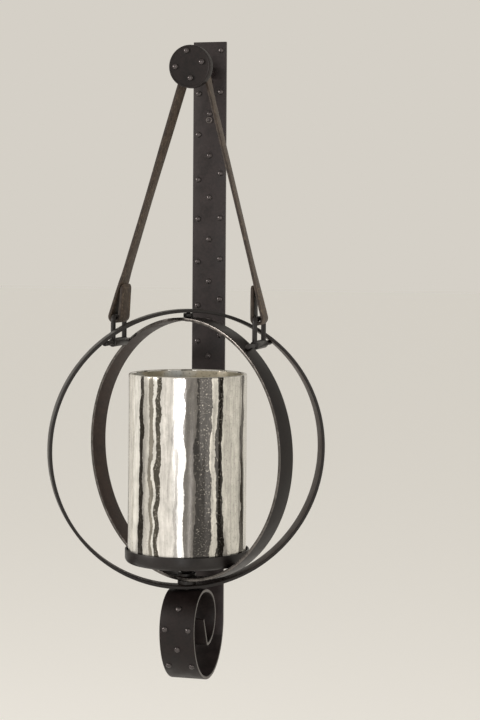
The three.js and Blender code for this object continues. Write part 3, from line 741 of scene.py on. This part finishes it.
def build_rings():
    sizes = bpy.context.scene.sconce_sizes
    for side in ("left", "right"):
        back, front, radius = rod_ends(side)
        rod = round_bar(f"rod_{side}_round", back, front, radius)
        finish_piece(rod, ["hoop"], "old_iron", f"rod_{side}")
        low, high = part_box(f"staple_{side}")
        wire = sizes.ring_wire / 2
        centre = Vector(((low.x + high.x) / 2, (low.y + high.y) / 2, back.z))
        along = (front - back).normalized()
        corner = 4 * MM
        top = high.z - wire
        foot = centre - along * sizes.ring_width / 2
        ring = start(bpy.ops.mesh.primitive_circle_add, f"ring_{side}", vertices=20, radius=wire,
                     fill_type="NGON", location=foot)
        pick_all()
        rise = UP * (top - corner - foot.z)
        across = along.cross(UP)
        run(rise)
        bend(foot + along * corner + rise, across, -math.pi / 2, math.radians(9))
        run(along * (sizes.ring_width - 2 * corner))
        bend(foot + along * (sizes.ring_width - corner) + rise, across, -math.pi / 2, math.radians(9))
        run(-rise)
        close(ring)
        sleeve_radius = back.z - low.z
        reach = (sizes.ring_width / 2 + wire) * along
        sleeve = round_bar(f"sleeve_{side}", centre - reach, centre + reach, sleeve_radius, edge=0.9 * MM)
        ring = join([ring, sleeve], f"ring_{side}")
        finish_piece(ring, ["hoop"], "old_iron", f"staple_{side}")


# ---------------------------------------------------------------- leather strap

# How far each leg of the strap is twisted on its way down, as (share of the way, slope in plan).
STRAP_TWIST = {
    -1: [(0, 0.05), (0.2, 0.03), (0.55, -0.04), (0.8, -0.01), (0.9, 0.08), (1, 0.1)],
    1: [(0, 0), (0.12, -0.1), (0.75, -0.12), (1, -0.03)],
}


def twist_at(side, share):
    """The slope in plan of one leg of the strap, eased between its key places."""
    keys = STRAP_TWIST[side]
    for (start_share, start_slope), (end_share, end_slope) in zip(keys, keys[1:]):
        if share <= end_share:
            part = (share - start_share) / (end_share - start_share)
            ease = part * part * (3 - 2 * part)
            return start_slope + (end_slope - start_slope) * ease
    return keys[-1][1]


def strap_route(sizes):
    """The right leg in the plane that faces the wall: centres and radii of its two bends, and its slope."""
    peg_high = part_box("peg")[1]
    peg_seat = 8.2 * MM            # radius of the strap's underside where it lies over the peg
    bend_radius = peg_seat + sizes.strap_thick / 2
    fold_radius = sizes.ring_wire * math.sqrt(0.5) + 0.5 * MM + sizes.strap_thick / 2
    bend_centre = Vector((0, peg_high.z + 0.3 * MM - peg_seat))
    back, front, _ = rod_ends("right")
    staple_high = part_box("staple_right")[1]
    fold_centre = Vector(((back.x + front.x) / 2, staple_high.z - sizes.ring_wire / 2))
    span = fold_centre - bend_centre
    tangent = math.atan2(span.y, span.x) + math.pi / 2 - math.asin((bend_radius - fold_radius) / span.length)
    return bend_centre, bend_radius, fold_centre, fold_radius, tangent


def flap_lean(sizes, fold_radius):
    """How far past straight back the fold turns, so that the flap's end lies on the leg."""
    gap = 2 * fold_radius - sizes.strap_thick - 0.4 * MM
    return math.asin(gap / sizes.flap_length)


def build_strap():
    sizes = bpy.context.scene.sconce_sizes
    bend_centre, bend_radius, fold_centre, fold_radius, tangent = strap_route(sizes)
    span = fold_centre - bend_centre
    strap = start(bpy.ops.mesh.primitive_plane_add, "strap_leather", size=1,
                  scale=(sizes.strap_thick, sizes.strap_width, 1), rotation=(0, math.pi / 2, 0),
                  location=(0, 0, bend_centre.y + bend_radius))
    pick_all()
    axis = (0, 1, 0)
    bend((bend_centre.x, 0, bend_centre.y), axis, math.pi / 2 - tangent, math.radians(6))
    leg = math.sqrt(span.length ** 2 - (bend_radius - fold_radius) ** 2)
    down = Vector((math.sin(tangent), 0, -math.cos(tangent)))
    lengths = 30
    for _ in range(lengths):
        run(down * leg / lengths)
    # the fold turns a little past straight back, so that the flap comes to lie on the leg
    past = flap_lean(sizes, fold_radius)
    bend((fold_centre.x, 0, fold_centre.y), axis, math.pi + past, math.radians(8))
    flap = Vector((math.sin(tangent - math.pi - past), 0, -math.cos(tangent - math.pi - past)))
    for _ in range(6):
        run(flap * sizes.flap_length / 6)
    # the flap's end is cut round
    ends = [vertex.co for vertex in bmesh.from_edit_mesh(strap.data).verts if vertex.select]
    tip = max(ends, key=lambda co: co.z).copy()
    pick(strap, "EDGE", lambda edge: (middle(edge) - tip).xz.length < sizes.strap_thick * 1.5
         and abs(abs(middle(edge).y) - sizes.strap_width / 2) < 0.1 * MM
         and abs((edge.verts[0].co - edge.verts[1].co).normalized().dot(flap)) < 0.2)
    bpy.ops.mesh.bevel(offset=FLAP_CORNER, segments=7, clamp_overlap=True)
    bpy.ops.object.mode_set(mode="OBJECT")
    apply_modifier(strap, "MIRROR", use_axis=(True, False, False), use_clip=True, merge_threshold=0.02 * MM)
    bpy.ops.object.mode_set(mode="EDIT")
    pick(strap, "FACE", lambda face: abs(face.calc_center_median().x) < 0.001 * MM
         and abs(face.normal.x) > 0.99)
    bpy.ops.mesh.delete(type="FACE")
    close(strap, edge=0.55 * MM, segments=3)
    lay_strap(strap, fold_centre)
    finish_piece(strap, ["leather", "cut_edge"], "leather", "strap")
    paint(strap, 1, lambda face: abs(face.normal.y) > 0.75)
    build_stitches()


def build_stitches():
    """Lines of short waxed stitches that hold each flap to its leg, seen on both faces."""
    sizes = bpy.context.scene.sconce_sizes
    _, _, fold_centre, fold_radius, tangent = strap_route(sizes)
    pitch, length, thread, margin = 3.7 * MM, 2.7 * MM, 0.45 * MM, 2.9 * MM
    pattern = start(bpy.ops.mesh.primitive_uv_sphere_add, "stitch_pattern", segments=10, ring_count=8,
                    radius=thread, scale=(1, 1, length / 2 / thread))
    bpy.ops.object.mode_set(mode="OBJECT")
    bpy.ops.object.shade_smooth()
    stitches = []
    for face_angle in (tangent, tangent - math.pi - flap_lean(sizes, fold_radius)):
        outward = Vector((math.cos(face_angle), 0, math.sin(face_angle)))
        # both runs start beside the fold and climb towards the boss
        climb = Vector((math.sin(face_angle), 0, -math.cos(face_angle)))
        climb = climb if climb.z > 0 else -climb
        foot = Vector((fold_centre.x, 0, fold_centre.y)) + outward * (fold_radius + sizes.strap_thick / 2)
        side = sizes.strap_width / 2 - margin
        count = int((sizes.flap_length - FLAP_CORNER) / pitch)
        for number in range(count):
            for y in (-side, side):
                place = foot + climb * (4 * MM + number * pitch) + Vector((0, y, 0))
                stitches.append(copy_to(pattern, "stitch", climb.to_track_quat("Z", "Y"), place))
        for number in range(-1, 2):
            place = foot + climb * (sizes.flap_length - 4.2 * MM) + Vector((0, number * pitch, 0))
            stitches.append(copy_to(pattern, "stitch", Vector((0, 1, 0)).to_track_quat("Z", "Y"), place))
    bpy.data.objects.remove(pattern)
    seam = join(stitches, "strap_stitches")
    apply_modifier(seam, "MIRROR", use_axis=(True, False, False))
    lay_strap(seam, fold_centre)
    finish_piece(seam, ["thread"], "leather")


def lay_strap(strap, fold_centre):
    """Leans the strap away from the wall towards its foot, and twists each leg as it hangs."""
    depth_top = 52.6 * MM
    depth_foot = 75 * MM
    peg_height = BOSS_CENTRE.z
    lean = (depth_foot - depth_top) / (peg_height - fold_centre.y)
    for vertex in strap.data.vertices:
        x, y, z = vertex.co
        drop = max(0.0, peg_height - z)
        share = min(1.0, drop / (peg_height - fold_centre.y))
        side = 1 if x > 0 else -1
        vertex.co = (x + y * twist_at(side, share), y - depth_top - drop * lean, z)
    strap.data.update()


# ---------------------------------------------------------------- pan, glass and post

def arc(centre, radius, start_angle, end_angle, count):
    """Points of an arc between two angles in degrees."""
    angles = [math.radians(start_angle + (end_angle - start_angle) * i / count) for i in range(count + 1)]
    return [(centre[0] + radius * math.cos(a), centre[1] + radius * math.sin(a)) for a in angles]


def build_pan():
    sizes = bpy.context.scene.sconce_sizes
    radius = (PAN_HIGH.x - PAN_LOW.x) / 2
    bottom, rim, wall, round_edge, bore = PAN_LOW.z, PAN_HIGH.z, sizes.pan_wall, 5 * MM, BOLT_BORE
    corner = (radius - round_edge, bottom + round_edge)
    lip = (radius - wall / 2, rim - wall / 2)
    profile = [(bore, bottom), *arc(corner, round_edge, 270, 360, 8), *arc(lip, wall / 2, 0, 180, 6),
               *arc(corner, round_edge - wall, 360, 270, 8), (bore, bottom + wall)]
    pan = turned_piece("pan_spun", profile, segments=144)
    close(pan)
    finish_piece(pan, ["hoop"], "old_iron", "pan")


def build_glass():
    sizes = bpy.context.scene.sconce_sizes
    radius = (GLASS_HIGH.x - GLASS_LOW.x) / 2
    inner, foot, top = radius - sizes.glass_wall, GLASS_LOW.z, GLASS_HIGH.z
    rim = sizes.glass_wall / 2
    rings = 40
    wall = [(radius, foot + rim + (top - foot - 2 * rim) * i / rings) for i in range(1, rings)]
    inside = [(inner, z) for _, z in reversed(wall)]
    profile = [*arc((radius - rim, foot + rim), rim, 180, 360, 8), *wall,
               *arc((radius - rim, top - rim), rim, 0, 180, 8), *inside]
    glass = turned_piece("glass_cylinder", profile, segments=sizes.glass_segments)
    close(glass)
    # hand-blown walls: shallow upright flutes, at most a third of a millimetre deep
    for vertex in glass.data.vertices:
        spoke = Vector((vertex.co.x, vertex.co.y - HOOP_AXIS_Y, 0))
        angle = math.atan2(spoke.y, spoke.x)
        depth = 0.16 * math.sin(13 * angle + 9 * vertex.co.z) + 0.14 * math.sin(29 * angle - 14 * vertex.co.z)
        vertex.co -= spoke.normalized() * (0.3 + depth) * MM
    finish_piece(glass, ["silver", "lining", "rim"], "mercury_glass", "glass",
                 body="glass")
    axis = Vector((0, HOOP_AXIS_Y, 0))
    paint(glass, 1, lambda face: ((face.center - axis).xy.length < radius - rim)
          and face.center.z < top - rim)
    paint(glass, 2, lambda face: face.center.z > top - rim and face.normal.z > 0.6)


def build_post():
    low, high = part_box("post")
    radius = (high.x - low.x) / 2
    half = (high.z - low.z) / 2
    waist = (low.z + high.z) / 2
    belly = [(radius * (0.72 + 0.28 * math.cos(a)), waist + half * math.sin(a))
             for a in (math.radians(-90 + 12 * i) for i in range(16))]
    post = turned_piece("post_turned", [(BOLT_BORE, low.z), *belly, (BOLT_BORE, high.z)])
    close(post)
    finish_piece(post, ["hoop"], "old_iron", "post")
    turned_washer("post_collar", BOLT_BORE, "hoop", "old_iron", 0.4 * MM)
    turned_washer("foot_lock_washer", BOLT_BORE, "bolt", "steel", 0.4 * MM)
    low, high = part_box("centre_bolt")
    head_foot, shank = PAN_LOW.z + 1.9 * MM, 3 * MM
    head = (high.x - low.x) / 2
    dome = [(head * math.cos(a), head_foot + (high.z - head_foot) * math.sin(a))
            for a in (math.radians(11 * i) for i in range(8))]
    chamfer = 0.6 * MM
    stem = [(0, low.z), (shank - chamfer, low.z), (shank, low.z + chamfer), (shank, head_foot)]
    bolt = turned_piece("centre_bolt_domed", [*stem, *dome, (0, high.z)], segments=64)
    close(bolt)
    finish_piece(bolt, ["bolt"], "steel", "centre_bolt")
    low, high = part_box("foot_nut")
    nut = start(bpy.ops.mesh.primitive_cylinder_add, "foot_nut_hex", vertices=6, radius=(high.y - low.y) / 2,
                depth=high.z - low.z, location=(low + high) / 2)
    pick(nut, "FACE", lambda face: abs(face.normal.z) > 0.9)
    bpy.ops.mesh.inset(thickness=2.2 * MM)
    bpy.ops.mesh.bridge_edge_loops()
    close(nut, edge=0.35 * MM)
    finish_piece(nut, ["bolt"], "steel", "foot_nut")


# ---------------------------------------------------------------- stage

FLOOR_DROP = 0.5


def add_light(name, place, aim, width, height, power, shade):
    """A soft light of that width and height that shines at a point."""
    data = bpy.data.lights.new(name, "AREA")
    data.shape = "RECTANGLE"
    data.size = width
    data.size_y = height
    data.energy = power
    data.color = colour(shade)[:3]
    lamp = bpy.data.objects.new(name, data)
    bpy.context.collection.objects.link(lamp)
    lamp.location = place
    lamp.rotation_euler = (Vector(aim) - Vector(place)).to_track_quat("-Z", "Y").to_euler()


def build_camera():
    yaw, roll = math.radians(15.26), math.radians(0.34)
    forward = Vector((-math.sin(yaw), math.cos(yaw), 0))
    level = Vector((math.cos(yaw), math.sin(yaw), 0))
    right = level * math.cos(roll) + UP * math.sin(roll)
    top = UP * math.cos(roll) - level * math.sin(roll)
    data = bpy.data.cameras.new("camera")
    data.sensor_width = 36
    data.lens = 93.27
    data.shift_y = -0.1722
    camera = bpy.data.objects.new("camera", data)
    bpy.context.collection.objects.link(camera)
    turn = Matrix((right, top, -forward)).transposed().to_4x4()
    camera.matrix_world = Matrix.Translation((0.54353, -1.87196, 0.21397)) @ turn
    bpy.context.scene.camera = camera


def build_stage():
    floor = start(bpy.ops.mesh.primitive_plane_add, "floor", size=60,
                  location=(0, 0, CAD_BOX[0].z - FLOOR_DROP))
    bpy.ops.object.mode_set(mode="OBJECT")
    floor.data.materials.append(finish("floor"))
    world = bpy.data.worlds.new("studio")
    world.use_nodes = True
    background = world.node_tree.nodes["Background"]
    background.inputs["Color"].default_value = colour("#d5d0c7")
    background.inputs["Strength"].default_value = 1.0
    bpy.context.scene.world = world
    bpy.context.scene.view_settings.view_transform = "Standard"
    add_light("key", (-2.3, -1.5, 0.75), (0, -0.05, 0.1), 0.45, 0.45, 46, "#fffaf5")
    add_light("front_softbox", (0.32, -2.8, 0.3), (0, -0.08, 0), 0.6, 1.9, 14, "#ffffff")
    add_light("right_fill", (2.4, -1.4, 0.4), (0, -0.08, 0), 1.4, 1.8, 16, "#fffaf2")
    build_camera()


# ---------------------------------------------------------------- operators and panel

class SCONCE_OT_strip(bpy.types.Operator):
    """Forges the wall strip and its scroll."""

    bl_idname = "sconce.strip"
    bl_label = "Wall strip and scroll"

    def execute(self, context):
        build_strip()
        return {"FINISHED"}


class SCONCE_OT_studs(bpy.types.Operator):
    """Sets the round heads on strip, scroll and boss."""

    bl_idname = "sconce.studs"
    bl_label = "Studs"

    def execute(self, context):
        build_studs()
        return {"FINISHED"}


class SCONCE_OT_boss(bpy.types.Operator):
    """Makes the peg and its disc."""

    bl_idname = "sconce.boss"
    bl_label = "Peg and disc"

    def execute(self, context):
        build_boss()
        return {"FINISHED"}


class SCONCE_OT_screws(bpy.types.Operator):
    """Makes the ringed heads of the wall screws."""

    bl_idname = "sconce.screws"
    bl_label = "Wall screws"

    def execute(self, context):
        build_screws()
        return {"FINISHED"}


class SCONCE_OT_hoops(bpy.types.Operator):
    """Rolls the two hoops and makes their washers and rivet."""

    bl_idname = "sconce.hoops"
    bl_label = "Hoops"

    def execute(self, context):
        build_hoops()
        return {"FINISHED"}


class SCONCE_OT_rings(bpy.types.Operator):
    """Makes the rods between the hoops and the rings that hold the strap."""

    bl_idname = "sconce.rings"
    bl_label = "Rods and rings"

    def execute(self, context):
        build_rings()
        return {"FINISHED"}


class SCONCE_OT_strap(bpy.types.Operator):
    """Cuts, folds and hangs the leather strap."""

    bl_idname = "sconce.strap"
    bl_label = "Leather strap"

    def execute(self, context):
        build_strap()
        return {"FINISHED"}


class SCONCE_OT_pan(bpy.types.Operator):
    """Spins the shallow pan."""

    bl_idname = "sconce.pan"
    bl_label = "Pan"

    def execute(self, context):
        build_pan()
        return {"FINISHED"}


class SCONCE_OT_glass(bpy.types.Operator):
    """Blows and silvers the glass cylinder."""

    bl_idname = "sconce.glass"
    bl_label = "Mercury glass"

    def execute(self, context):
        build_glass()
        return {"FINISHED"}


class SCONCE_OT_post(bpy.types.Operator):
    """Turns the post, its collar, the bolt, washer and nut."""

    bl_idname = "sconce.post"
    bl_label = "Post and bolt"

    def execute(self, context):
        build_post()
        return {"FINISHED"}


class SCONCE_OT_stage(bpy.types.Operator):
    """Sets the floor, lights and camera."""

    bl_idname = "sconce.stage"
    bl_label = "Stage"

    def execute(self, context):
        build_stage()
        return {"FINISHED"}


OPERATORS = (SCONCE_OT_strip, SCONCE_OT_studs, SCONCE_OT_boss, SCONCE_OT_screws, SCONCE_OT_hoops,
             SCONCE_OT_rings, SCONCE_OT_strap, SCONCE_OT_pan, SCONCE_OT_glass, SCONCE_OT_post,
             SCONCE_OT_stage)


class SCONCE_PT_panel(bpy.types.Panel):
    """Lists the sconce's pieces, sizes and finishes."""

    bl_idname = "SCONCE_PT_panel"
    bl_label = "Wall sconce"
    bl_space_type = "VIEW_3D"
    bl_region_type = "UI"
    bl_category = "Sconce"

    def draw(self, context):
        for operator in OPERATORS:
            self.layout.operator(operator.bl_idname)
        for group in (context.scene.sconce_sizes, context.scene.sconce_finishes):
            for key in group.__annotations__:
                self.layout.prop(group, key)


CLASSES = (SconceSizes, SconceFinishes, *OPERATORS, SCONCE_PT_panel)


def register():
    for item in CLASSES:
        bpy.utils.register_class(item)
    bpy.types.Scene.sconce_sizes = PointerProperty(type=SconceSizes)
    bpy.types.Scene.sconce_finishes = PointerProperty(type=SconceFinishes)


def unregister():
    del bpy.types.Scene.sconce_finishes
    del bpy.types.Scene.sconce_sizes
    for item in reversed(CLASSES):
        bpy.utils.unregister_class(item)


def main():
    register()
    for operator in OPERATORS:
        group, name = operator.bl_idname.split(".")
        getattr(getattr(bpy.ops, group), name)()


if __name__ == "__main__":
    main()
